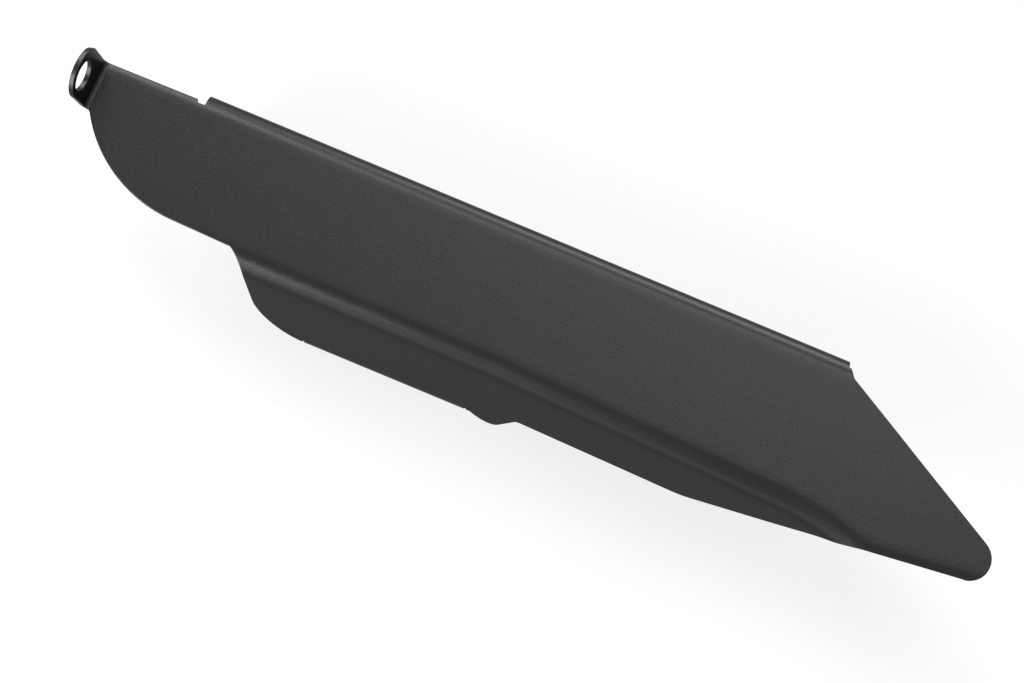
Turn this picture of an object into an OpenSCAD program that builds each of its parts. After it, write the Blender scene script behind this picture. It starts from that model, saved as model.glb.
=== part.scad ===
// Motorcycle chain guard: one sheet of aluminium, cut, folded and pierced.
// X runs from the ear at the front to the pointed tip at the rear, Z is up.
// The origin is the middle of the fixing hole in the return tab, on the face that the guard lies on.

/* [Sheet] */
// Thickness of the sheet
sheet_t = 2; // [1.5:0.1:2.5]
// Width of the flat cover between its two long folds
cover_w = 42; // [38:1:48]
// Distance from the front reference line to the middle of the tip's rounding
tip_x = 360.4; // [350:1:390]
// Whole height of the folded guard under the cover
guard_h = 47.8; // [44:0.1:56]

/* [Outer flange] */
// Outside radius of the fold between the cover and the outer flange
outer_fold_r = 9; // [7:0.5:12]
// Angle that the outer flange is folded down through
outer_fold_a = 75; // [72:1:86]
// Where the outer flange starts
flange_start = 68.6; // [60:0.2:74]
// How far below the fold the face of the shallow stretch reaches
shallow_leg = 25.9; // [18:0.1:28]
// Where the rounded lobe of the deep stretch is deepest
lobe_x = 180.2; // [179:0.2:190]
// How much deeper the lobe is than the fold of the return tab
lobe_extra = 4.7; // [3:0.1:7]
// Where the shallow stretch starts to taper
taper_start = 257.5; // [230:1:262]

/* [Rear run of the outer fold] */
// Where the fold starts to run outwards
spread_start = 173; // [150:1:185]
// Angle that it runs outwards at
spread_a = 2; // [1:0.5:3]
// Where the fold starts to swing out to the edge
swing_start = 287.5; // [275:0.5:292]
// Steepest angle of the swing
swing_a = 18; // [16:1:20]
// Radius of the swing's first bend, seen from above
swing_r_1 = 115; // [105:1:125]
// Radius of the swing's second bend, seen from above
swing_r_2 = 25; // [20:1:30]
// Angle of the edge that runs to the tip
tip_edge_a = 6.1; // [5:0.1:8]
// Width of the bent lip along that edge
lip_w = 3.7; // [3:0.1:5]
// Radius of the tip
tip_r = 8.4; // [6:0.1:11]

/* [Return tab] */
// Outside radius of the fold between the outer flange and the tab
return_fold_r = 7; // [5:0.5:8]
// Where the tab starts
tab_start = 104; // [101:0.1:112]
// Length of the tab along the guard
tab_l = 66.2; // [56:0.1:69]
// Width of the tab's flat
tab_w = 20; // [16:1:26]
// Radius of the tab's corners
tab_corner_r = 5; // [3:1:7]
// Diameter of the fixing hole in the tab
tab_hole_d = 6.5; // [5:0.5:9]

/* [Inner flange] */
// Outside radius of the fold between the cover and the inner flange
inner_fold_r = 7; // [5:0.5:9]
// Where the inner flange starts
inner_start = 39.6; // [38:0.1:60]
// Where the inner flange ends
inner_end = 295.4; // [270:0.1:297]
// Radius of the inner flange's lower corners
inner_corner_r = 14; // [8:1:18]
// Width of the bent lip between the ear and the inner flange, seen from above
front_lip_w = 3.1; // [2.5:0.1:5]
// Length of the relief notch between that lip and the flange
notch_l = 3; // [2:0.1:6]

/* [Ear] */
// Distance from the front reference line to the start of the ear's fold
ear_x = 1.7; // [1:0.1:3]
// Width of the ear at its fold
ear_w = 19.2; // [18:0.2:22]
// Distance from the inner flange's face to the middle of the ear
ear_in = 13.8; // [13.4:0.1:15]
// Inside radius of the ear's fold
ear_fold_r = 2; // [1:0.5:4]
// Angle that the ear is folded up through
ear_fold_a = 82; // [60:0.1:90]
// Height of the middle of the ear's rounding above its fold
ear_h = 12.3; // [10:0.1:16]
// Radius of the ear's rounding
ear_r = 8.7; // [8:0.1:10]
// Diameter of the ear's hole
ear_hole_d = 11.5; // [8:0.5:12]
// Sideways offset of the ear's rounding
ear_shift = 1.9; // [0:0.1:2.5]
// Turn of the ear's fold line, seen from above
ear_turn = 1.3; // [0:0.1:5]

/* [Hidden] */
$fn = 96;

// Number of strips across a fold, and the least width of a strip
fold_steps = 8;
strip = 0.08;

// Width of a cut's steep side, and the least distance between two stations
cut_w = 0.02;
station_gap = 0.015;

// Lines of the two long folds, measured from the inner flange's outer face at y = 0
inner_line = -inner_fold_r;
outer_line = inner_line - cover_w;

function rad(a) = a * PI / 180;
function deg(a) = a * 180 / PI;

// The outer flange in section: arc lengths on the sheet's upper side, counted from the fold's line
outer_arc = outer_fold_r * rad(outer_fold_a);
face_out = outer_fold_r * sin(outer_fold_a);
face_drop = outer_fold_r * (1 - cos(outer_fold_a));
deep_leg = (guard_h - face_drop - return_fold_r * (1 + cos(outer_fold_a))) / sin(outer_fold_a);
return_arc = return_fold_r * rad(180 - outer_fold_a);
return_out = face_out + deep_leg * cos(outer_fold_a) - return_fold_r * sin(outer_fold_a);
inner_arc = inner_fold_r * PI / 2;

// The swing of the outer fold, seen from above: two arcs and the straight run to the tip
swing_from = [swing_start, outer_line - (swing_start - spread_start) * tan(spread_a)];
swing_c_1 = swing_from - swing_r_1 * [sin(spread_a), cos(spread_a)];
swing_mid = swing_c_1 + swing_r_1 * [sin(swing_a), cos(swing_a)];
swing_c_2 = swing_mid + swing_r_2 * [sin(swing_a), cos(swing_a)];
swing_to = swing_c_2 + swing_r_2 * [sin(tip_edge_a), -cos(tip_edge_a)];

function fold_y(x) =
    x < spread_start ? outer_line
    : x < swing_from[0] ? outer_line - (x - spread_start) * tan(spread_a)
    : x < swing_mid[0] ? swing_c_1[1] + sqrt(swing_r_1 ^ 2 - (x - swing_c_1[0]) ^ 2)
    : x < swing_to[0] ? swing_c_2[1] - sqrt(swing_r_2 ^ 2 - (x - swing_c_2[0]) ^ 2)
    : swing_to[1] + (x - swing_to[0]) * tan(tip_edge_a);

// The relief cut behind the inner flange: its narrow side, its length and its rise over the fold's line
relief_side = 0.9;
relief_l = 3;
relief_top = 5.4;
relief_low = 0.5;

// The tip: a rounding that the lip's edge and the slanted rear edge both run into
tip_steps = 8;
tip_blunt = 0.25;
lip_offset = lip_w / cos(tip_edge_a);
tip_y = fold_y(tip_x) - lip_offset + tip_r / cos(tip_edge_a);
slant_from = [inner_end + relief_l, inner_line + relief_low];
slant_run = [tip_x, tip_y] - slant_from;
slant_fall = atan2(-slant_run[1], slant_run[0]) - asin(tip_r / norm(slant_run));
tip_low_x = tip_x + tip_r * sin(tip_edge_a);
tip_high_x = tip_x + tip_r * sin(slant_fall);
tip_end_x = tip_x + tip_r - tip_blunt;

// The front edge: one arc from the ear, then a straight run to the outer flange
front_r = 52.2;
front_from_a = 59.8;
front_to_a = 2.6;
front_c = [ear_x + front_r * sin(front_from_a), -ear_in - ear_w / 2 + front_r * cos(front_from_a)];
front_end = front_c[0] - front_r * sin(front_to_a);
front_end_y = front_c[1] - front_r * cos(front_to_a);

// The outer flange's root, where its fold runs out to its full width in a curve
flange_root = 8.3;
root_out = 1.2;
root_power = 1.3;

// The deep stretch's raked and rounded front corner, and the lobe at its rear
rake_a = 74.5;
rake_from = flange_start + flange_root;
rake_to = tab_start;
rake_r = ((rake_to - rake_from) * tan(rake_a) - deep_leg) / (1 / cos(rake_a) - 1);
lobe_r = 5;
lobe_a = 60;
lobe_leg = deep_leg + lobe_extra;
tab_end = tab_start + tab_l;
lobe_end = lobe_x + lobe_r * sin(lobe_a);
lobe_end_leg = lobe_leg - lobe_r * (1 - cos(lobe_a));
shallow_start = lobe_end + (lobe_end_leg - shallow_leg) / tan(lobe_a);

// The shallow stretch's slight fall, then a gentle taper and a steeper one where the fold swings out
shallow_fall = 1.3;
taper_leg_from = shallow_leg - shallow_fall;
taper_slope = 0.351;
steep_lag = 8;
steep_start = swing_start + steep_lag;
steep_slope = 0.75;
steep_leg = taper_leg_from - (steep_start - taper_start) * taper_slope;

function rake_leg(x) = let (c = rake_to, r = rake_r,
    turn_x = c - r * sin(rake_a), turn_leg = deep_leg - r * (1 - cos(rake_a)))
    x < turn_x ? turn_leg * (x - rake_from) / (turn_x - rake_from)
    : deep_leg - r + sqrt(r ^ 2 - (c - x) ^ 2);

function lobe_rise(x) =
    x < lobe_x ? deep_leg + lobe_extra * (1 - ((lobe_x - x) / (lobe_x - tab_end)) ^ 2)
    : x < lobe_end ? lobe_leg - lobe_r + sqrt(lobe_r ^ 2 - (x - lobe_x) ^ 2)
    : lobe_end_leg - (x - lobe_end) * tan(lobe_a);

function taper_leg(x) =
    x < taper_start ? shallow_leg - shallow_fall * (x - shallow_start) / (taper_start - shallow_start)
    : x < steep_start ? taper_leg_from - (x - taper_start) * taper_slope
    : steep_leg - (x - steep_start) * steep_slope;

function face_leg(x) =
    x < rake_to ? rake_leg(x)
    : x < tab_end ? deep_leg
    : x < shallow_start ? lobe_rise(x)
    : taper_leg(x);

// The relief notch in front of the inner flange
notch_d = 1.3;
notch_start = inner_start - notch_l;

// Place of an edge on the sheet, from where it is seen from above
function outer_side(x, y) = let (d = y - fold_y(x))
    d >= 0 ? d : -outer_fold_r * rad(asin(min(-d / outer_fold_r, sin(outer_fold_a))));

function inner_side(x, y) = let (d = y - inner_line)
    d <= 0 ? y - fold_y(x) : inner_line - fold_y(x) + inner_fold_r * rad(asin(min(d / inner_fold_r, 1)));

function tip_half(x) = sqrt(max(tip_r ^ 2 - (x - tip_x) ^ 2, 0));

function front_y(x) =
    x < front_end ? front_c[1] - sqrt(front_r ^ 2 - (front_c[0] - x) ^ 2)
    : x < flange_start ? front_end_y + (outer_line - root_out - front_end_y)
        * (x - front_end) / (flange_start - front_end)
    : outer_line - root_out - (face_out - root_out) * ((x - flange_start) / flange_root) ^ root_power;

function lip_y(x) = fold_y(swing_to[0]) - lip_offset + (x - swing_to[0]) * tan(tip_edge_a);

// Lower and upper edges of the sheet along x, without the tab and the inner flange's face
function low_edge(x) =
    x < rake_from ? outer_side(x, front_y(x))
    : x < swing_start ? -outer_arc - face_leg(x)
    : x < tip_low_x ? min(-outer_arc - face_leg(x), outer_side(x, lip_y(x)))
    : outer_side(x, tip_y - tip_half(x));

function high_y(x) =
    x <= notch_start - cut_w ? inner_line + front_lip_w
    : x < inner_start ? inner_line + front_lip_w - notch_d
    : x <= inner_end ? 0
    : x < slant_from[0] ? inner_line + relief_top - (relief_top - relief_low) * (x - inner_end) / relief_l
    : x < tip_high_x ? slant_from[1] - (x - slant_from[0]) * tan(slant_fall)
    : tip_y + tip_half(x);

function high_edge(x) = inner_side(x, high_y(x));

// A corner's rounding, taken off an edge at a distance from its end
function corner_cut(d, r) = d >= r ? 0 : r - sqrt(r ^ 2 - (r - d) ^ 2);
function end_gap(x, from, to) = max(min(x - from, to - x), 0);

// A point of the upper side in section, and the sheet's outward direction there, both as [y, z]
function outer_spot(x, u) = let (y = fold_y(x), leg = u - outer_arc, tab = leg - deep_leg - return_arc)
    u < outer_arc ? let (a = deg(u / outer_fold_r))
        [[y - outer_fold_r * sin(a), outer_fold_r * (cos(a) - 1)], [-sin(a), cos(a)]]
    : leg <= deep_leg || x > tab_end || x < tab_start ?
        [[y - face_out - leg * cos(outer_fold_a), -face_drop - leg * sin(outer_fold_a)],
         [-sin(outer_fold_a), cos(outer_fold_a)]]
    : tab < 0 ? let (a = outer_fold_a + deg((leg - deep_leg) / return_fold_r))
        [[y - return_out - return_fold_r * sin(a), return_fold_r * (1 + cos(a)) - guard_h],
         [-sin(a), cos(a)]]
    : [[y - return_out + tab, -guard_h], [0, -1]];

function inner_spot(x, w) = let (v = w - (inner_line - fold_y(x)))
    v < 0 ? [[fold_y(x) + w, 0], [0, 1]]
    : v < inner_arc ? let (a = deg(v / inner_fold_r))
        [[inner_line + inner_fold_r * sin(a), inner_fold_r * (cos(a) - 1)], [sin(a), cos(a)]]
    : [[0, inner_arc - inner_fold_r - v], [1, 0]];

function spot(x, w) = w < 0 ? outer_spot(x, -w) : inner_spot(x, w);

// Rows across the sheet, from the tab's edge to the inner flange's edge
tab_rows = fold_steps + 2;
leg_rows = 2;
cover_rows = 5;
low_row = tab_rows;
fold_row = low_row + leg_rows;
cover_row = fold_row + fold_steps;
inner_row = cover_row + cover_rows;
high_row = inner_row + fold_steps;
last_row = high_row + 1;

// A row's own place at x, before the edges push it
function row_place(x, j) = let (flat = inner_line - fold_y(x))
    j < fold_row ? low_edge(x) + (-outer_arc - low_edge(x)) * (j - low_row) / leg_rows
    : j < cover_row ? -outer_arc * (cover_row - j) / fold_steps
    : j < inner_row ? flat * (j - cover_row) / cover_rows
    : flat + inner_arc * (j - inner_row) / fold_steps;

function main_row(x, j) = let (low = low_edge(x), high = high_edge(x))
    j == low_row ? low
    : min(max(row_place(x, j), low + strip * (j - low_row)), high - strip * (high_row - j));

function tab_row(x, j) = let (root = -outer_arc - deep_leg,
    flat = tab_w - corner_cut(end_gap(x, tab_start, tab_end), tab_corner_r))
    j == 0 ? root - return_arc - flat : root - return_arc * (low_row - j) / (tab_rows - 1);

function flange_row(x) = high_edge(x) + guard_h - inner_fold_r
    - corner_cut(end_gap(x, inner_start, inner_end), inner_corner_r);

function row(x, j) = j < low_row ? tab_row(x, j) : j <= high_row ? main_row(x, j) : flange_row(x);

// Stations along x: every place where an edge or a fold changes, with steps between
function span(from, to, n) = [for (i = [0 : n]) from + (to - from) * i / n];

function sorted(v) = len(v) < 2 ? v : let (p = v[floor(len(v) / 2)])
    concat(sorted([for (a = v) if (a < p - station_gap) a]), [p],
           sorted([for (a = v) if (a > p + station_gap) a]));

stations = sorted(concat(
    span(ear_x, front_end, 10), [notch_start - cut_w, notch_start],
    span(inner_start, inner_start + inner_corner_r, 4), span(flange_start, rake_from, 5),
    span(rake_from, rake_to, 9), span(tab_start, tab_start + tab_corner_r, 3),
    span(tab_end - tab_corner_r, tab_end, 3), span(tab_end, lobe_x, 4), span(lobe_x, lobe_end, 4),
    [shallow_start, taper_start], span(inner_end - inner_corner_r, inner_end, 4),
    [steep_start, inner_end + relief_side, slant_from[0]], span(swing_from[0], swing_mid[0], 10),
    span(swing_mid[0], swing_to[0], 6), [tip_high_x, tip_low_x], span(swing_to[0], tip_x, 3),
    [for (i = [1 : tip_steps]) tip_x + (tip_end_x - tip_x) * sin(90 * i / tip_steps)]));
last_station = len(stations) - 1;
row_count = last_row + 1;

// Whether the sheet has the cell between two stations and two rows
function between(i, from, to) = let (x = (stations[i] + stations[i + 1]) / 2) x > from && x < to;

function has_cell(i, j) =
    i >= 0 && i < last_station && j >= 0 && j < last_row
    && (j >= low_row || between(i, tab_start, tab_end))
    && (j < high_row || between(i, inner_start, inner_end));

function upper(i, j) = 2 * (i * row_count + j);
function lower(i, j) = upper(i, j) + 1;

sheet_points = [for (x = stations) for (j = [0 : last_row])
    let (s = spot(x, row(x, j)))
    each [[x, s[0][0], s[0][1]], [x, s[0][0] - sheet_t * s[1][0], s[0][1] - sheet_t * s[1][1]]]];

function wall(a, b, c, d) = [[a, b, c], [a, c, d]];

function cell_faces(i, j) = concat(
    wall(upper(i, j), upper(i, j + 1), upper(i + 1, j + 1), upper(i + 1, j)),
    wall(lower(i, j), lower(i + 1, j), lower(i + 1, j + 1), lower(i, j + 1)),
    has_cell(i, j - 1) ? [] : wall(upper(i, j), upper(i + 1, j), lower(i + 1, j), lower(i, j)),
    has_cell(i, j + 1) ? []
        : wall(upper(i + 1, j + 1), upper(i, j + 1), lower(i, j + 1), lower(i + 1, j + 1)),
    has_cell(i - 1, j) ? [] : wall(upper(i, j + 1), upper(i, j), lower(i, j), lower(i, j + 1)),
    has_cell(i + 1, j) ? []
        : wall(upper(i + 1, j), upper(i + 1, j + 1), lower(i + 1, j + 1), lower(i + 1, j)));

sheet_faces = [for (i = [0 : last_station - 1]) for (j = [0 : last_row - 1]) if (has_cell(i, j))
    each cell_faces(i, j)];

// The tab lies flat at the bottom, with its hole in the middle of its flat
tab_hole = [tab_start + tab_l / 2, outer_line - return_out + tab_w / 2];

module folded_sheet() {
    polyhedron(sheet_points, sheet_faces, convexity = 6);
}

// The ear in section: its root in the sheet, its fold and its straight face. It sits a hair lower than
// the cover, so that none of its faces lies in the plane of a face of the sheet.
ear_steps = 12;
ear_root = 3.5;
ear_drop = 0.01;
ear_lift = ear_fold_r + sheet_t;
ear_run = (ear_h + ear_r + sheet_t) * [cos(ear_fold_a), sin(ear_fold_a)];
function fold_point(r, a) = r * [sin(a), -cos(a)];
ear_outer = [for (a = span(0, ear_fold_a, ear_steps)) fold_point(ear_lift, a)];
ear_inner = [for (a = span(ear_fold_a, 0, ear_steps)) fold_point(ear_fold_r, a)];
ear_section = concat([[-ear_root, -ear_lift]], ear_outer,
    [fold_point(ear_lift, ear_fold_a) + ear_run, fold_point(ear_fold_r, ear_fold_a) + ear_run],
    ear_inner, [[-ear_root, -ear_fold_r]]);

// The ear's sides run in straight lines past its fold, at these slopes
ear_side_1 = (ear_w / 2 - ear_r + ear_shift) / ear_h;
ear_side_2 = (ear_w / 2 - ear_r - ear_shift) / ear_h;
ear_deep = 20;

module ear_outline() {
    polygon([[ear_deep, -ear_w / 2 - ear_deep * ear_side_2], [ear_deep, ear_w / 2 + ear_deep * ear_side_1],
             [-ear_h, ear_r - ear_shift], [-ear_h, -ear_r - ear_shift]]);
    translate([-ear_h, -ear_shift]) circle(ear_r);
}

// The ear, folded up at the front, with its hole
module ear() {
    translate([ear_x, -ear_in, ear_fold_r - ear_drop]) rotate([0, 0, -ear_turn]) difference() {
        intersection() {
            rotate([90, 0, 180]) translate([0, 0, -ear_w]) linear_extrude(2 * ear_w) polygon(ear_section);
            rotate([0, ear_fold_a, 0]) translate([0, 0, -ear_deep]) linear_extrude(2 * ear_deep)
                ear_outline();
        }
        rotate([0, ear_fold_a, 0]) translate([-ear_h, -ear_shift, -ear_lift - 1])
            cylinder(d = ear_hole_d, h = sheet_t + 2);
    }
}

module chain_guard() {
    color([0.13, 0.13, 0.14]) translate([-tab_hole[0], -tab_hole[1], guard_h]) {
        difference() {
            folded_sheet();
            translate([tab_hole[0], tab_hole[1], -guard_h - 1]) cylinder(d = tab_hole_d, h = sheet_t + 2);
        }
        ear();
    }
}

chain_guard();
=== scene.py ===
# Looks of a motorcycle chain guard: one sheet, mapped from its flat outline through all its folds.
# The shape functions work in millimetres in the source's own axes, and sheet_mesh moves them to the frame:
# x runs from the ear to the tip, y is 0 on the inner flange's face, and z is 0 on the flat cover.
# A point of the flat sheet is (x, w), where w is measured inwards from the line of the outer fold.
# In names, W is a width, L a length, H a height, T a thickness, R a radius, D a diameter and A an angle.
import math

import bpy
import numpy as np
from mathutils import Matrix, Vector
from mathutils.geometry import delaunay_2d_cdt


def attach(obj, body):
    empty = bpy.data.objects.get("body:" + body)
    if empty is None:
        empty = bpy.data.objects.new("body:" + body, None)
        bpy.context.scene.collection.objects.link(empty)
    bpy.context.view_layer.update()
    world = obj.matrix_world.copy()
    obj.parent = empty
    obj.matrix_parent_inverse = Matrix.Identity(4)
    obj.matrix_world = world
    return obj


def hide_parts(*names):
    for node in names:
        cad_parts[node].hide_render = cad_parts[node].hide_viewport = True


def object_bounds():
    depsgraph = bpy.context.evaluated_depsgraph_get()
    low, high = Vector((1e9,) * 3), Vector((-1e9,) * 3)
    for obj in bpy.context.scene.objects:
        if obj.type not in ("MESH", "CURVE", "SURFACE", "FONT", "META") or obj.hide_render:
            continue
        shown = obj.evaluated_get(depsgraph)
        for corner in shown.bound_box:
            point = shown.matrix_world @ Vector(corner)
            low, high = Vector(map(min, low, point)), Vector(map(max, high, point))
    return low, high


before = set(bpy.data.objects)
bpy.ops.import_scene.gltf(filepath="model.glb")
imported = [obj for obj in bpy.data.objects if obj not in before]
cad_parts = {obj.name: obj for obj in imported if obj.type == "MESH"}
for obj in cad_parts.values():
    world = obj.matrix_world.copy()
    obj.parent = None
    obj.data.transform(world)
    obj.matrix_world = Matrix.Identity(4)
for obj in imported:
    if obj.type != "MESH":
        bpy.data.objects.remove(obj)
cad_low, cad_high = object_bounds()

MM = 0.001

# Sheet and cover
SHEET_T = 2.0
COVER_W = 42.0
TIP_X = 360.8
GUARD_H = 47.8

# Outer flange
OUTER_R = 9.0
OUTER_A = math.radians(75)
FLANGE_START = 68.6
SHALLOW_LEG = 25.9
LOBE_X = 180.2
LOBE_EXTRA = 4.7
TAPER_START = 257.5

# Rear run of the outer fold
SPREAD_START = 173.0
SPREAD_A = math.radians(2)
SWING_START = 287.5
SWING_A = math.radians(18)
SWING_R_1 = 115.0
SWING_R_2 = 25.0
TIP_EDGE_A = math.radians(6.1)
LIP_W = 3.9
TIP_R = 8.4

# Return tab
RETURN_R = 7.0
TAB_START = 104.0
TAB_L = 66.2
TAB_W = 20.0
TAB_CORNER_R = 5.0
TAB_HOLE_D = 6.5

# A point this near the tab's edge belongs to the tab, and the lobe behind the tab begins twice as far away
SLIT = 0.0005

# Inner flange
INNER_R = 7.0
INNER_START = 39.6
INNER_END = 295.4
INNER_CORNER_R = 14.0
FRONT_LIP_W = 3.1
NOTCH_L = 3.0
NOTCH_DEPTH = 1.3
RELIEF_L = 3.0
RELIEF_SIDE = 0.9
RELIEF_TOP = 5.4
RELIEF_LOW = 0.5

# Ear
EAR_X = 1.7
EAR_W = 19.2
EAR_IN = 13.8
EAR_FOLD_R = 2.0
EAR_FOLD_A = math.radians(82)
EAR_HOLE_H = 12.3
EAR_HOLE_SHIFT = 1.9
EAR_HOLE_D = 11.5
EAR_ROUND_H = 10.8
EAR_ROUND_R = 9.9
EAR_ROUND_SHIFT = 0.5
EAR_TURN = math.radians(1.3)

# No point of the ear lies further behind the place of its fold than this
EAR_BEHIND = 1.0

# Lines and lengths of the folds
INNER_LINE = -INNER_R
OUTER_LINE = INNER_LINE - COVER_W
OUTER_ARC = OUTER_R * OUTER_A
FACE_OUT = OUTER_R * math.sin(OUTER_A)
FACE_DROP = OUTER_R * (1 - math.cos(OUTER_A))
DEEP_LEG = (GUARD_H - FACE_DROP - RETURN_R * (1 + math.cos(OUTER_A))) / math.sin(OUTER_A)
RETURN_ARC = RETURN_R * (math.pi - OUTER_A)
RETURN_OUT = FACE_OUT + DEEP_LEG * math.cos(OUTER_A) - RETURN_R * math.sin(OUTER_A)
INNER_ARC = INNER_R * math.pi / 2
TAB_END = TAB_START + TAB_L
TAB_ROOT = -OUTER_ARC - DEEP_LEG
TAB_HOLE = (TAB_START + TAB_L / 2, OUTER_LINE - RETURN_OUT + TAB_W / 2)
EAR_ARC = EAR_FOLD_R * EAR_FOLD_A

# The swing of the outer fold, seen from above
SWING_FROM = (SWING_START, OUTER_LINE - (SWING_START - SPREAD_START) * math.tan(SPREAD_A))
SWING_CENTRE_1 = (SWING_FROM[0] - SWING_R_1 * math.sin(SPREAD_A),
                  SWING_FROM[1] - SWING_R_1 * math.cos(SPREAD_A))
SWING_MID = (SWING_CENTRE_1[0] + SWING_R_1 * math.sin(SWING_A),
             SWING_CENTRE_1[1] + SWING_R_1 * math.cos(SWING_A))
SWING_CENTRE_2 = (SWING_MID[0] + SWING_R_2 * math.sin(SWING_A),
                  SWING_MID[1] + SWING_R_2 * math.cos(SWING_A))
SWING_TO = (SWING_CENTRE_2[0] + SWING_R_2 * math.sin(TIP_EDGE_A),
            SWING_CENTRE_2[1] - SWING_R_2 * math.cos(TIP_EDGE_A))


def root(value):
    """Square root, and 0 where rounding takes a value below 0."""
    return math.sqrt(max(value, 0))


def fold_y(x):
    """The line where the outer fold leaves the flat cover."""
    if x < SPREAD_START:
        return OUTER_LINE
    if x < SWING_FROM[0]:
        return OUTER_LINE - (x - SPREAD_START) * math.tan(SPREAD_A)
    if x < SWING_MID[0]:
        return SWING_CENTRE_1[1] + root(SWING_R_1 ** 2 - (x - SWING_CENTRE_1[0]) ** 2)
    if x < SWING_TO[0]:
        return SWING_CENTRE_2[1] - root(SWING_R_2 ** 2 - (x - SWING_CENTRE_2[0]) ** 2)
    return SWING_TO[1] + (x - SWING_TO[0]) * math.tan(TIP_EDGE_A)


# The tip
LIP_OFFSET = LIP_W / math.cos(TIP_EDGE_A)
TIP_Y = fold_y(TIP_X) - LIP_OFFSET + TIP_R / math.cos(TIP_EDGE_A)
SLANT_FROM = (INNER_END + RELIEF_L, INNER_LINE + RELIEF_LOW)
SLANT_RUN = (TIP_X - SLANT_FROM[0], TIP_Y - SLANT_FROM[1])
SLANT_FALL = math.atan2(-SLANT_RUN[1], SLANT_RUN[0]) - math.asin(TIP_R / math.hypot(*SLANT_RUN))
TIP_LOW_X = TIP_X + TIP_R * math.sin(TIP_EDGE_A)

# The front edge
FRONT_R = 52.2
FRONT_FROM_A = math.radians(59.8)
FRONT_TO_A = math.radians(2.6)
FRONT_CENTRE = (EAR_X + FRONT_R * math.sin(FRONT_FROM_A),
                -EAR_IN - EAR_W / 2 + FRONT_R * math.cos(FRONT_FROM_A))
FRONT_END = FRONT_CENTRE[0] - FRONT_R * math.sin(FRONT_TO_A)
FRONT_END_Y = FRONT_CENTRE[1] - FRONT_R * math.cos(FRONT_TO_A)
FLANGE_ROOT = 8.3
ROOT_OUT = 1.2
ROOT_POWER = 1.3

# The deep stretch's raked front corner, the lobe at its rear, and the taper
RAKE_A = math.radians(74.5)
RAKE_FROM = FLANGE_START + FLANGE_ROOT
RAKE_TO = TAB_START
RAKE_R = ((RAKE_TO - RAKE_FROM) * math.tan(RAKE_A) - DEEP_LEG) / (1 / math.cos(RAKE_A) - 1)
LOBE_R = 5.0
LOBE_A = math.radians(60)
LOBE_LEG = DEEP_LEG + LOBE_EXTRA
LOBE_END = LOBE_X + LOBE_R * math.sin(LOBE_A)
LOBE_END_LEG = LOBE_LEG - LOBE_R * (1 - math.cos(LOBE_A))
SHALLOW_START = LOBE_END + (LOBE_END_LEG - SHALLOW_LEG) / math.tan(LOBE_A)
SHALLOW_FALL = 1.3
TAPER_LEG_FROM = SHALLOW_LEG - SHALLOW_FALL
TAPER_SLOPE = 0.351
STEEP_DELAY = 8.0
STEEP_START = SWING_START + STEEP_DELAY
STEEP_SLOPE = 0.75
STEEP_LEG = TAPER_LEG_FROM - (STEEP_START - TAPER_START) * TAPER_SLOPE

# How far the flange's edge dips beside the return tab's fold, how softly edges merge, and how much an
# edge lower down the outer fold draws in, so that it looks straight from the camera
FOOT = 1.7
MERGE = 1.6
LIP_LEAN = 0.16


def smooth(t):
    """A soft rise from 0 to 1, as t goes from 0 to 1."""
    t = min(max(t, 0), 1)
    return t * t * (3 - 2 * t)


def merged(a, b):
    """The lesser of two values, with a soft join."""
    near = max(1 - abs(a - b) / (2 * MERGE), 0)
    return min(a, b) - MERGE / 2 * near * near


# Length of the outer flange's face, from the outer fold down to its edge, stretch by stretch
def rake_leg(x):
    turn_x = RAKE_TO - RAKE_R * math.sin(RAKE_A)
    if x < turn_x:
        return (x - RAKE_FROM) * math.tan(RAKE_A)
    dip = FOOT * smooth((x - turn_x) / (RAKE_TO - turn_x))
    return DEEP_LEG - RAKE_R + root(RAKE_R ** 2 - (RAKE_TO - x) ** 2) + dip


def lobe_leg(x):
    if x < LOBE_X:
        return DEEP_LEG + max(LOBE_EXTRA * (1 - ((LOBE_X - x) / (LOBE_X - TAB_END)) ** 2), FOOT)
    if x < LOBE_END:
        return LOBE_LEG - LOBE_R + root(LOBE_R ** 2 - (x - LOBE_X) ** 2)
    return LOBE_END_LEG - (x - LOBE_END) * math.tan(LOBE_A)


def taper_leg(x):
    if x < TAPER_START:
        return SHALLOW_LEG - SHALLOW_FALL * (x - SHALLOW_START) / (TAPER_START - SHALLOW_START)
    gentle = TAPER_LEG_FROM - (x - TAPER_START) * TAPER_SLOPE
    return merged(gentle, STEEP_LEG - (x - STEEP_START) * STEEP_SLOPE)


def face_leg(x):
    if x < RAKE_TO:
        return rake_leg(x)
    if x < TAB_END:
        return DEEP_LEG
    if x < SHALLOW_START:
        return lobe_leg(x)
    return taper_leg(x)


# Place of an edge on the flat sheet, from where it is seen from above
def outer_side(x, y):
    d = y - fold_y(x)
    if d >= 0:
        return d
    return -OUTER_R * math.asin(min(-d / OUTER_R, math.sin(OUTER_A)))


def inner_side(x, y):
    d = y - INNER_LINE
    if d <= 0:
        return y - fold_y(x)
    return INNER_LINE - fold_y(x) + INNER_R * math.asin(min(d / INNER_R, 1))


def front_y(x):
    """The front edge seen from above, from the ear to the outer flange."""
    if x < FRONT_END:
        return FRONT_CENTRE[1] - root(FRONT_R ** 2 - (FRONT_CENTRE[0] - x) ** 2)
    if x < FLANGE_START:
        along = (x - FRONT_END) / (FLANGE_START - FRONT_END)
        return FRONT_END_Y + (OUTER_LINE - ROOT_OUT - FRONT_END_Y) * along
    return OUTER_LINE - ROOT_OUT - (FACE_OUT - ROOT_OUT) * ((x - FLANGE_START) / FLANGE_ROOT) ** ROOT_POWER


def lip_y(x):
    """The edge of the tip's low lip seen from above."""
    return fold_y(SWING_TO[0]) - LIP_OFFSET + (x - SWING_TO[0]) * math.tan(TIP_EDGE_A)


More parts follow.
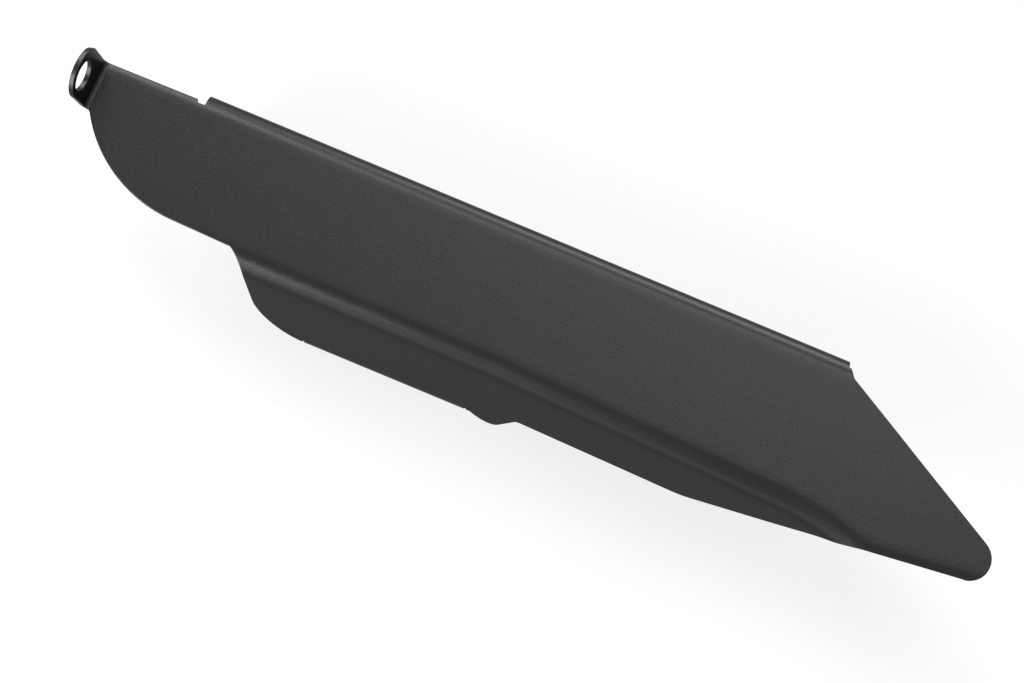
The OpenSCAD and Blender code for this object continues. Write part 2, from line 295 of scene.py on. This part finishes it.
def lip_side(x):
    """Place of the lip's edge on the flat sheet, drawn in where it lies lower down the fold."""
    d = min(fold_y(x) - lip_y(x), FACE_OUT)
    drop = OUTER_R - root(OUTER_R ** 2 - d ** 2)
    return -OUTER_R * math.asin((d - LIP_LEAN * drop) / OUTER_R)


def low_edge(x):
    """The outer edge of the flat sheet, without the return tab."""
    if x < RAKE_FROM:
        return outer_side(x, front_y(x))
    if x < SWING_START:
        return -OUTER_ARC - face_leg(x)
    return merged(-OUTER_ARC - face_leg(x), lip_side(x))


def corner_cut(d, r):
    """What a corner of radius r takes off at a distance d from its side."""
    return 0 if d >= r else r - root(r ** 2 - (r - d) ** 2)


def flange_edge(x):
    """The inner flange's edge on the flat sheet."""
    gap = max(min(x - INNER_START, INNER_END - x), 0)
    return INNER_LINE - fold_y(x) + INNER_ARC + GUARD_H - INNER_R - corner_cut(gap, INNER_CORNER_R)


# The ear's own axes on the flat sheet: p runs out from its fold, q along the fold
def ear_flat(p, q):
    x = EAR_X - p * math.cos(EAR_TURN) + q * math.sin(EAR_TURN)
    y = -EAR_IN + p * math.sin(EAR_TURN) + q * math.cos(EAR_TURN)
    return x, y - OUTER_LINE


def ear_axes(x, y):
    x -= EAR_X
    p = -x * math.cos(EAR_TURN) + (y + EAR_IN) * math.sin(EAR_TURN)
    q = x * math.sin(EAR_TURN) + (y + EAR_IN) * math.cos(EAR_TURN)
    return p, q


# A point of the upper side in section and the sheet's outward direction: y, z, ny, nz
def outer_spot(x, u):
    y = fold_y(x)
    leg = u - OUTER_ARC
    if u < OUTER_ARC:
        a = u / OUTER_R
        return y - OUTER_R * math.sin(a), OUTER_R * (math.cos(a) - 1), -math.sin(a), math.cos(a)
    if leg <= DEEP_LEG or not TAB_START - SLIT < x < TAB_END + SLIT:
        return (y - FACE_OUT - leg * math.cos(OUTER_A), -FACE_DROP - leg * math.sin(OUTER_A),
                -math.sin(OUTER_A), math.cos(OUTER_A))
    tab = leg - DEEP_LEG - RETURN_ARC
    if tab < 0:
        a = OUTER_A + (leg - DEEP_LEG) / RETURN_R
        return (y - RETURN_OUT - RETURN_R * math.sin(a), RETURN_R * (1 + math.cos(a)) - GUARD_H,
                -math.sin(a), math.cos(a))
    return y - RETURN_OUT + tab, -GUARD_H, 0.0, -1.0


def inner_spot(x, w):
    v = w - (INNER_LINE - fold_y(x))
    if v < 0:
        return fold_y(x) + w, 0.0, 0.0, 1.0
    if v > INNER_ARC:
        return 0.0, INNER_ARC - INNER_R - v, 1.0, 0.0
    a = v / INNER_R
    return INNER_LINE + INNER_R * math.sin(a), INNER_R * (math.cos(a) - 1), math.sin(a), math.cos(a)


# The ear's fold lifts whatever lies beyond its line, and the strip along its inner side stays rolled
def ear_lift(x, y, z, ny, nz):
    p, q = ear_axes(x, y)
    a = min(p / EAR_FOLD_R, EAR_FOLD_A)
    run = EAR_FOLD_R * math.sin(a) + max(p - EAR_ARC, 0) * math.cos(a)
    rise = EAR_FOLD_R * (1 - math.cos(a)) + max(p - EAR_ARC, 0) * math.sin(a)
    lifted_x, lifted_w = ear_flat(run, q)
    cos_t, sin_t = math.cos(EAR_TURN), math.sin(EAR_TURN)
    face = (math.sin(a) * cos_t, -math.sin(a) * sin_t, math.cos(a))
    across = (sin_t, cos_t, 0.0)
    at = (lifted_x + z * face[0], lifted_w + OUTER_LINE + z * face[1], rise + z * face[2])
    return at, tuple(ny * across[k] + nz * face[k] for k in range(3))


def spot(x, w):
    """Upper side's point and the way from the lower side to it, for a point of the flat sheet."""
    y, z, ny, nz = outer_spot(x, -w) if w < 0 else inner_spot(x, w)
    if x < EAR_X + EAR_BEHIND and ear_axes(x, y)[0] > 0:
        return ear_lift(x, y, z, ny, nz)
    return (x, y, z), (0.0, ny, nz)


def surface(flat, depth):
    """Points of the sheet at a depth below its upper side."""
    out = np.empty((len(flat), 3))
    for i, (x, w) in enumerate(flat):
        at, up = spot(x, w)
        out[i] = [at[k] - depth * up[k] for k in range(3)]
    return out


# Outline of the flat sheet: the distance between its points, closer where it bends more, the least
# distance that is kept, and where the front edge's own curve begins behind the ear
EDGE_STEP = 0.8
ROOT_STEP = 0.25
RAKE_STEP = 0.35
LOBE_STEP = 0.3
RELIEF_STEP = 0.5
SLANT_STEP = 1.2
LEAST_STEP = 0.12
FRONT_LEAD = 0.6

# Segments of its rounded ends and holes, and the angle between points on the inner flange's corners
TIP_STEPS = 40
TAB_CORNER_STEPS = 12
EAR_ROUND_STEPS = 56
TAB_HOLE_STEPS = 48
EAR_HOLE_STEPS = 72
FLANGE_CORNER_STEP = 5

# Small corners, each rounded over this much of its edges, but over no more than MOST_CUT of one of them
SLOT_CORNER = 0.5
LOBE_CORNER = 1.5
SHALLOW_CORNER = 4.0
TAPER_CORNER = 2.0
RELIEF_CORNER = 0.4
NOTCH_CORNER = 0.6
LIP_CORNER = 0.3
EAR_CORNER = 0.8
MOST_CUT = 0.4
CORNER_STEPS = 6


def steps(start, end, pitch):
    count = max(int(math.ceil(abs(end - start) / pitch)), 1)
    return [start + (end - start) * i / count for i in range(count + 1)]


def line(a, b, pitch=EDGE_STEP):
    count = max(int(math.ceil(math.dist(a, b) / pitch)), 1)
    return [(a[0] + (b[0] - a[0]) * i / count, a[1] + (b[1] - a[1]) * i / count) for i in range(count + 1)]


def arc(centre, r, start, end, count):
    angles = [math.radians(start + (end - start) * i / count) for i in range(count + 1)]
    return [(centre[0] + r * math.cos(a), centre[1] + r * math.sin(a)) for a in angles]


def edge_run(function, start, end, pitch=EDGE_STEP):
    return [(x, function(x)) for x in steps(start, end, pitch)]


def trimmed(run, d):
    """The run without its last stretch of length d."""
    run = list(run)
    while len(run) > 1:
        last = math.dist(run[-1], run[-2])
        if last > d:
            break
        d -= last
        run.pop()
    if len(run) > 1 and d > 0:
        t = d / math.dist(run[-1], run[-2])
        run[-1] = tuple(run[-1][k] + (run[-2][k] - run[-1][k]) * t for k in (0, 1))
    return run


def length(run):
    return sum(math.dist(a, b) for a, b in zip(run, run[1:]))


def joined(runs):
    """One closed outline of (run, radius) pairs, with each run's end corner rounded at its radius."""
    pieces = [list(run) for run, _ in runs]
    corners = []
    for i, (_, r) in enumerate(runs):
        after = (i + 1) % len(pieces)
        cut = min(r, MOST_CUT * length(pieces[i]), MOST_CUT * length(pieces[after]))
        corners.append((pieces[i][-1], cut))
    for i, (_, cut) in enumerate(corners):
        after = (i + 1) % len(pieces)
        pieces[i] = trimmed(pieces[i], cut)
        pieces[after] = trimmed(pieces[after][::-1], cut)[::-1]
    outline = []
    for i, (corner, cut) in enumerate(corners):
        after = (i + 1) % len(pieces)
        outline += pieces[i][1:] if cut == 0 else pieces[i]
        if cut > 0:
            a, b = pieces[i][-1], pieces[after][0]
            for t in (k / CORNER_STEPS for k in range(1, CORNER_STEPS)):
                weights = ((1 - t) ** 2, 2 * t * (1 - t), t * t)
                outline.append(tuple(weights[0] * a[k] + weights[1] * corner[k] + weights[2] * b[k]
                                     for k in (0, 1)))
    return outline


def tip_side(x, y):
    return outer_side(x, y) if y < fold_y(x) else y - fold_y(x)


def tab_runs():
    edge = TAB_ROOT - RETURN_ARC - TAB_W
    r = TAB_CORNER_R
    return [
        (line((TAB_START, TAB_ROOT), (TAB_START, edge + r)), 0),
        (arc((TAB_START + r, edge + r), r, 180, 270, TAB_CORNER_STEPS), 0),
        (line((TAB_START + r, edge), (TAB_END - r, edge)), 0),
        (arc((TAB_END - r, edge + r), r, 270, 360, TAB_CORNER_STEPS), 0),
        (line((TAB_END, edge + r), (TAB_END, TAB_ROOT)), SLOT_CORNER),
    ]


def flange_runs():
    r = INNER_CORNER_R
    turns = [math.radians(a) for a in range(0, 91, FLANGE_CORNER_STEP)]
    rear = [INNER_END - r + r * math.cos(a) for a in turns]
    front = [INNER_START + r - r * math.sin(a) for a in turns]
    middle = steps(INNER_END - r, INNER_START + r, 2 * EDGE_STEP)
    bottom = [(x, flange_edge(x)) for x in rear + middle[1:-1] + front]
    rise = (RELIEF_TOP - RELIEF_LOW) / RELIEF_L
    relief = [(x, inner_side(x, SLANT_FROM[1] + rise * (SLANT_FROM[0] - x)))
              for x in steps(SLANT_FROM[0], INNER_END + RELIEF_SIDE, RELIEF_STEP)]
    relief.append((INNER_END, relief[-1][1]))
    notch = inner_side(INNER_START, INNER_LINE + FRONT_LIP_W - NOTCH_DEPTH)
    lip = inner_side(INNER_START, INNER_LINE + FRONT_LIP_W)
    notch_start = INNER_START - NOTCH_L
    return [
        (relief, RELIEF_CORNER),
        (line(relief[-1], bottom[0]), 0),
        (bottom, 0),
        (line(bottom[-1], (INNER_START, notch)), NOTCH_CORNER),
        (line((INNER_START, notch), (notch_start, notch)), NOTCH_CORNER),
        (line((notch_start, notch), (notch_start, lip)), SLOT_CORNER),
    ]


def ear_runs():
    middle = (EAR_ARC + EAR_ROUND_H, -EAR_ROUND_SHIFT)
    top = (middle[0], middle[1] + EAR_ROUND_R)
    foot = (middle[0], middle[1] - EAR_ROUND_R)
    half = EAR_W / 2
    rounding = arc(middle, EAR_ROUND_R, 90, -90, EAR_ROUND_STEPS)
    return [[ear_flat(*p) for p in run] for run in (
        line((0, half), (EAR_ARC, half)), line((EAR_ARC, half), top), rounding,
        line(foot, (EAR_ARC, -half)), line((EAR_ARC, -half), (0, -half)))]


def sheet_outline():
    tip_low = (TIP_LOW_X, low_edge(TIP_LOW_X))
    turn_from = math.degrees(TIP_EDGE_A) - 90
    turn_to = 90 - math.degrees(SLANT_FALL)
    round_end = arc((TIP_X, TIP_Y), TIP_R, turn_from, turn_to, TIP_STEPS)
    tip = [tip_low] + [(x, tip_side(x, y)) for x, y in round_end[1:]]
    slant = [(x, y - fold_y(x)) for x, y in line(round_end[-1], SLANT_FROM, SLANT_STEP)]
    ear = ear_runs()
    lip_start = INNER_START - NOTCH_L
    lip_w = inner_side(lip_start, INNER_LINE + FRONT_LIP_W)
    lip = line((lip_start, lip_w), ear[0][0])
    front = edge_run(low_edge, EAR_X + FRONT_LEAD, FLANGE_START)
    front = line(ear[-1][-1], front[0])[:-1] + front
    return joined([
        (front, 0),
        (edge_run(low_edge, FLANGE_START, RAKE_FROM, ROOT_STEP), 0),
        (edge_run(low_edge, RAKE_FROM, TAB_START, RAKE_STEP), SLOT_CORNER),
        *tab_runs(),
        (edge_run(low_edge, TAB_END + 2 * SLIT, SHALLOW_START, LOBE_STEP), LOBE_CORNER),
        (edge_run(low_edge, SHALLOW_START, TAPER_START), SHALLOW_CORNER),
        (edge_run(low_edge, TAPER_START, STEEP_START), TAPER_CORNER),
        (edge_run(low_edge, STEEP_START, TIP_LOW_X), 0),
        (tip, 0),
        (slant, SLOT_CORNER),
        *flange_runs(),
        (lip, LIP_CORNER),
        *((run, 0) for run in ear[:-1]),
        (ear[-1], EAR_CORNER),
    ])


def thinned(loop, least):
    out = [loop[0]]
    for p in loop[1:]:
        if math.dist(p, out[-1]) > least:
            out.append(p)
    while math.dist(out[0], out[-1]) <= least:
        out.pop()
    return np.array(out)


def outward(loop):
    """Unit directions out of the material, for a loop that keeps the material on its left."""
    along = np.roll(loop, -1, 0) - np.roll(loop, 1, 0)
    along /= np.linalg.norm(along, axis=1)[:, None]
    return np.stack([along[:, 1], -along[:, 0]], 1)


def crossings(points, loop):
    """Whether each point lies inside a loop."""
    inside = np.zeros(len(points), bool)
    ax, ay = loop[:, 0], loop[:, 1]
    bx, by = np.roll(ax, -1), np.roll(ay, -1)
    for i, (x, y) in enumerate(points):
        spans = (ay > y) != (by > y)
        at = (bx[spans] - ax[spans]) * (y - ay[spans]) / (by[spans] - ay[spans]) + ax[spans]
        inside[i] = np.count_nonzero(x < at) % 2
    return inside


# Distances are worked out for this many points at a time, to save memory
POINTS_AT_ONCE = 2000


def clear_of(points, loop, gap):
    """Whether each point is at least a gap away from a loop's points and the middles between them."""
    marks = np.concatenate([loop, (loop + np.roll(loop, -1, 0)) / 2])
    out = np.empty(len(points), bool)
    for i in range(0, len(points), POINTS_AT_ONCE):
        part = points[i:i + POINTS_AT_ONCE]
        far = (part[:, None, 0] - marks[None, :, 0]) ** 2 + (part[:, None, 1] - marks[None, :, 1]) ** 2
        out[i:i + POINTS_AT_ONCE] = far.min(1) > gap * gap
    return out


# Points inside the outline, closer together across the folds
GRID_PITCH = 1.6
GRID_FROM = 1.2
FOLD_PITCH = 0.7
FLAT_PITCH = 2.2
COVER_ROWS = 19

# The ear's own points, which begin just beyond its fold's line and run past its sides
EAR_FROM = 0.05
EAR_BESIDE = 1.0
EAR_FOLD_PITCH = 0.25
EAR_UP_PITCH = 0.9
EAR_ACROSS_PITCH = 0.8


def outer_rows():
    rows = steps(0, -OUTER_ARC, FOLD_PITCH)
    rows += steps(-OUTER_ARC, TAB_ROOT, FLAT_PITCH)[1:]
    rows += steps(TAB_ROOT, TAB_ROOT - RETURN_ARC, FOLD_PITCH)[1:]
    return rows + steps(TAB_ROOT - RETURN_ARC, TAB_ROOT - RETURN_ARC - TAB_W, FLAT_PITCH)[1:]


def inner_rows(x):
    flat = INNER_LINE - fold_y(x)
    rows = [flat * i / COVER_ROWS for i in range(1, COVER_ROWS + 1)]
    rows += [flat + v for v in steps(0, INNER_ARC, FOLD_PITCH)[1:]]
    return rows + [flat + v for v in steps(INNER_ARC, INNER_ARC + GUARD_H - INNER_R, FLAT_PITCH)[1:]]


def grid():
    """Points all over the flat sheet, and beyond its edges."""
    points = []
    low = outer_rows()
    for x in steps(EAR_X + GRID_FROM, TIP_X + TIP_R, GRID_PITCH):
        points += [(x, w) for w in low + inner_rows(x)]
    across = steps(-EAR_W / 2 - EAR_BESIDE, EAR_W / 2 + EAR_BESIDE, EAR_ACROSS_PITCH)
    top = EAR_ARC + EAR_ROUND_H + EAR_ROUND_R
    for p in steps(EAR_FROM, EAR_ARC, EAR_FOLD_PITCH) + steps(EAR_ARC, top, EAR_UP_PITCH)[1:]:
        points += [ear_flat(p, q) for q in across]
    return np.array(points)


# The rounding of the cut edges, how far behind it a row of points follows, the gap from there to the
# grid, and the distance within which two points are one
RIM_R = 0.35
RIM_STEPS = 4
SUPPORT = 0.35
GRID_GAP = 0.3
WELD_WITHIN = 1e-7

# Half the lengths, along and across the sheet, over which a shading direction is taken: the one across
# is long, so that the folds start and end softly
ALONG = 0.01
ACROSS = 1.1


def circle_loop(centre, r, count):
    """A hole's loop, which keeps the material on its left."""
    return np.array(arc(centre, r, 360, 0, count)[:-1])


def hole_loops():
    tab = (TAB_HOLE[0], TAB_ROOT - RETURN_ARC - TAB_W / 2)
    ear = ear_flat(EAR_ARC + EAR_HOLE_H, -EAR_HOLE_SHIFT)
    return [circle_loop(tab, TAB_HOLE_D / 2, TAB_HOLE_STEPS),
            circle_loop(ear, EAR_HOLE_D / 2, EAR_HOLE_STEPS)]


def triangulated(loops):
    """Flat points, triangles and each loop's point numbers, for the sheet inside its edge rounding."""
    inset = [loop - RIM_R * outward(loop) for loop in loops]
    support = [loop - (RIM_R + SUPPORT) * outward(loop) for loop in loops]
    inner = grid()
    inner = inner[crossings(inner, loops[0])]
    for loop in loops[1:]:
        inner = inner[~crossings(inner, loop)]
    for loop in loops:
        inner = inner[clear_of(inner, loop, RIM_R + SUPPORT + GRID_GAP)]
    flat = np.concatenate([*inset, *support, inner])
    starts = np.cumsum([0] + [len(p) for p in inset])
    numbers = [list(range(starts[i], starts[i + 1])) for i in range(len(inset))]
    edges = [(ring[i], ring[(i + 1) % len(ring)]) for ring in numbers for i in range(len(ring))]
    found = delaunay_2d_cdt([Vector(p) for p in flat], edges, [], 0, WELD_WITHIN)
    sources = [ids[0] for ids in found[3]]
    triangles = np.array([[sources[v] for v in f] for f in found[2]])
    middles = flat[triangles].mean(1)
    keep = crossings(middles, inset[0])
    for loop in inset[1:]:
        keep &= ~crossings(middles, loop)
    return flat, triangles[keep], numbers


def normals(flat, depth, side):
    """Shading directions at points of the flat sheet: side is 1 for its upper side and -1 for its lower."""
    dx = surface(flat + [ALONG, 0], depth) - surface(flat - [ALONG, 0], depth)
    dw = surface(flat + [0, ACROSS], depth) - surface(flat - [0, ACROSS], depth)
    n = side * np.cross(dx, dw)
    return n / np.linalg.norm(n, axis=1)[:, None]


def rim(loop, ring, points, up, count):
    """Rings of rounded edge between the upper and lower side of one loop."""
    rows, row_normals = [], []
    for side, depth in ((0, 0.0), (1, SHEET_T)):
        base = points[side][ring]
        n = up[side][ring]
        out = surface(loop, depth) - base
        out -= n * np.sum(out * n, 1)[:, None]
        out /= np.linalg.norm(out, axis=1)[:, None]
        angles = [math.pi / 2 * k / RIM_STEPS for k in range(1, RIM_STEPS + 1)]
        if side:
            angles.reverse()
        rows += [base + RIM_R * (math.sin(a) * out - (1 - math.cos(a)) * n) for a in angles]
        row_normals += [math.sin(a) * out + math.cos(a) * n for a in angles]
    size = len(ring)
    ids = [list(ring)] + [list(range(count + i * size, count + (i + 1) * size)) for i in range(len(rows))]
    return np.concatenate(rows), np.concatenate(row_normals), ids


def sheet_mesh():
    """The closed mesh of the folded sheet, in the frame and in metres."""
    loops = [thinned(sheet_outline(), LEAST_STEP)] + hole_loops()
    flat, triangles, rings = triangulated(loops)
    points = [surface(flat, 0.0), surface(flat, SHEET_T)]
    up = [normals(flat, 0.0, 1), normals(flat, SHEET_T, -1)]
    size = len(flat)
    verts = list(points)
    norms = list(up)
    faces = [tuple(t) for t in triangles] + [tuple(size + v for v in t[::-1]) for t in triangles]
    count = 2 * size
    for loop, ring in zip(loops, rings):
        more, more_n, ids = rim(loop, ring, points, up, count)
        ids.append([size + v for v in ring])
        verts.append(more)
        norms.append(more_n)
        count += len(more)
        for a, b in zip(ids, ids[1:]):
            for i in range(len(ring)):
                j = (i + 1) % len(ring)
                faces.append((a[i], b[i], b[j], a[j]))
    verts = np.concatenate(verts)
    norms = np.concatenate(norms)
    verts = (verts - [TAB_HOLE[0], TAB_HOLE[1], -GUARD_H]) * MM
    mesh = bpy.data.meshes.new("guard_sheet")
    mesh.from_pydata(verts.tolist(), [], faces)
    mesh.polygons.foreach_set("use_smooth", [True] * len(mesh.polygons))
    mesh.normals_split_custom_set_from_vertices(norms.tolist())
    mesh.validate()
    return mesh


# Finish: fine satin black, with a grain in metres and patches of more and less gloss
BLACK = (0.0213, 0.0213, 0.0222, 1)
METAL_SHARE = 0.8
GLOSS_LEVEL = 0.25
GRAZING_TINT = (0.5, 0.5, 0.5, 1)
GRAIN_SCALE = 2200.0
GRAIN_DEPTH = 0.0002
GRAIN_STRENGTH = 0.3
PATCH_SCALE = 45.0
ROUGH_LEAST = 0.25
ROUGH_MOST = 0.33


def node(tree, kind, **sockets):
    """A new node with values for its sockets, named with a low line in place of a space."""
    added = tree.nodes.new(kind)
    for name, value in sockets.items():
        added.inputs[name.replace("_", " ")].default_value = value
    return added


def satin_black():
    material = bpy.data.materials.new("satin_black")
    material.use_nodes = True
    tree = material.node_tree
    shader = tree.nodes["Principled BSDF"]
    shader.inputs["Base Color"].default_value = BLACK
    shader.inputs["Metallic"].default_value = METAL_SHARE
    shader.inputs["Specular IOR Level"].default_value = GLOSS_LEVEL
    shader.inputs["Specular Tint"].default_value = GRAZING_TINT
    where = tree.nodes.new("ShaderNodeTexCoord")
    grain = node(tree, "ShaderNodeTexNoise", Scale=GRAIN_SCALE, Detail=2.0, Roughness=0.6)
    tree.links.new(where.outputs["Object"], grain.inputs["Vector"])
    bump = node(tree, "ShaderNodeBump", Strength=GRAIN_STRENGTH, Distance=GRAIN_DEPTH)
    tree.links.new(grain.outputs["Fac"], bump.inputs["Height"])
    tree.links.new(bump.outputs["Normal"], shader.inputs["Normal"])
    patches = node(tree, "ShaderNodeTexNoise", Scale=PATCH_SCALE, Detail=4.0, Roughness=0.55)
    tree.links.new(where.outputs["Object"], patches.inputs["Vector"])
    spread = node(tree, "ShaderNodeMapRange", To_Min=ROUGH_LEAST, To_Max=ROUGH_MOST)
    tree.links.new(patches.outputs["Fac"], spread.inputs["Value"])
    tree.links.new(spread.outputs["Result"], shader.inputs["Roughness"])
    return material


def add_guard():
    guard = bpy.data.objects.new("guard_sheet", sheet_mesh())
    guard.data.materials.append(satin_black())
    bpy.context.scene.collection.objects.link(guard)
    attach(guard, "root")
    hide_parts("chain_guard")


# Camera, in metres but for its sensor: it looks down at the cover, leaning towards the outer side
LOOK_AT = (0.0400, 0.00682, 0.0478)
LEAN = math.radians(10)
ROLL = math.radians(22.57)
DISTANCE = 0.85
SENSOR_W_MM = 36.0

# The photo's width, and its scale at the point that the camera looks at
PHOTO_W_PX = 1024
PX_PER_MM = 2.746
FIELD_W = PHOTO_W_PX / PX_PER_MM * MM

# Surroundings, in metres: the floor glows only where a ray shows it, so that it is white around the shadow
FLOOR_SIZE = 12.0
FLOOR_GAP = 0.0001
FLOOR_ALBEDO = 0.18
FLOOR_GLOW = 0.68
WORLD_LIGHT = 0.24
WHITE = (1, 1, 1, 1)


def seen_ray(tree):
    """1 for a ray that shows its target: from the camera, mirrored or passed through."""
    path = tree.nodes.new("ShaderNodeLightPath")
    value = path.outputs["Is Camera Ray"]
    for name in ("Is Glossy Ray", "Is Transmission Ray"):
        either = tree.nodes.new("ShaderNodeMath")
        either.operation = "MAXIMUM"
        tree.links.new(value, either.inputs[0])
        tree.links.new(path.outputs[name], either.inputs[1])
        value = either.outputs[0]
    return value


def add_floor():
    bpy.ops.mesh.primitive_plane_add(size=FLOOR_SIZE, location=(0, 0, cad_low.z - FLOOR_GAP))
    floor = bpy.context.active_object
    floor.name = "floor"
    material = bpy.data.materials.new("white_floor")
    material.use_nodes = True
    tree = material.node_tree
    tree.nodes.clear()
    diffuse = node(tree, "ShaderNodeBsdfDiffuse", Color=(FLOOR_ALBEDO, FLOOR_ALBEDO, FLOOR_ALBEDO, 1))
    glow = node(tree, "ShaderNodeEmission", Color=WHITE)
    seen = tree.nodes.new("ShaderNodeMath")
    seen.operation = "MULTIPLY"
    seen.inputs[1].default_value = FLOOR_GLOW
    tree.links.new(seen_ray(tree), seen.inputs[0])
    tree.links.new(seen.outputs[0], glow.inputs["Strength"])
    both = tree.nodes.new("ShaderNodeAddShader")
    out = tree.nodes.new("ShaderNodeOutputMaterial")
    tree.links.new(diffuse.outputs[0], both.inputs[0])
    tree.links.new(glow.outputs[0], both.inputs[1])
    tree.links.new(both.outputs[0], out.inputs["Surface"])
    floor.data.materials.append(material)


def add_world():
    world = bpy.data.worlds.new("studio")
    bpy.context.scene.world = world
    world.use_nodes = True
    tree = world.node_tree
    background = tree.nodes["Background"]
    background.inputs["Color"].default_value = WHITE
    level = node(tree, "ShaderNodeMapRange", To_Min=WORLD_LIGHT, To_Max=1.0)
    tree.links.new(seen_ray(tree), level.inputs["Value"])
    tree.links.new(level.outputs["Result"], background.inputs["Strength"])


def add_softbox(name, at, size, power, colour):
    """A lamp of a size in metres and a power in watts, turned to the point that the camera looks at."""
    lamp = bpy.data.lights.new(name, "AREA")
    lamp.shape = "RECTANGLE"
    lamp.size, lamp.size_y = size
    lamp.energy = power
    lamp.color = colour
    box = bpy.data.objects.new(name, lamp)
    box.location = at
    box.rotation_mode = "QUATERNION"
    box.rotation_quaternion = (Vector(LOOK_AT) - Vector(at)).to_track_quat("-Z", "Y")
    bpy.context.scene.collection.objects.link(box)


def add_camera():
    data = bpy.data.cameras.new("camera")
    data.sensor_width = SENSOR_W_MM
    data.lens = SENSOR_W_MM * DISTANCE / FIELD_W
    camera = bpy.data.objects.new("camera", data)
    bpy.context.scene.collection.objects.link(camera)
    back = Vector((0, -math.sin(LEAN), math.cos(LEAN)))
    across = Vector((1, 0, 0))
    along = back.cross(across)
    right = across * math.cos(ROLL) + along * math.sin(ROLL)
    up = along * math.cos(ROLL) - across * math.sin(ROLL)
    turn = Matrix((right, up, back)).transposed().to_4x4()
    camera.matrix_world = Matrix.Translation(Vector(LOOK_AT) + back * DISTANCE) @ turn
    bpy.context.scene.camera = camera


def add_lights():
    add_softbox("top_softbox", at=(0.2, 0.57, 1.05), size=(0.9, 0.7), power=7.8, colour=(0.97, 0.965, 1.0))
    add_softbox("left_softbox", at=(-0.74, 1.02, 0.76), size=(0.8, 1.4), power=35, colour=(1.0, 0.98, 0.985))
    add_softbox("back_softbox", at=(0.26, 1.25, 0.25), size=(0.9, 0.6), power=14, colour=(1.0, 0.99, 0.98))
    add_softbox("front_softbox", at=(-0.7, -0.95, 0.55), size=(0.9, 1.1), power=46, colour=(1.0, 0.93, 0.86))
    add_softbox("low_softbox", at=(0.2, -1.1, 0.14), size=(1.0, 0.45), power=2.2, colour=(1.0, 0.95, 0.88))


add_guard()
add_floor()
add_world()
add_lights()
add_camera()
bpy.context.scene.view_settings.view_transform = "Standard"
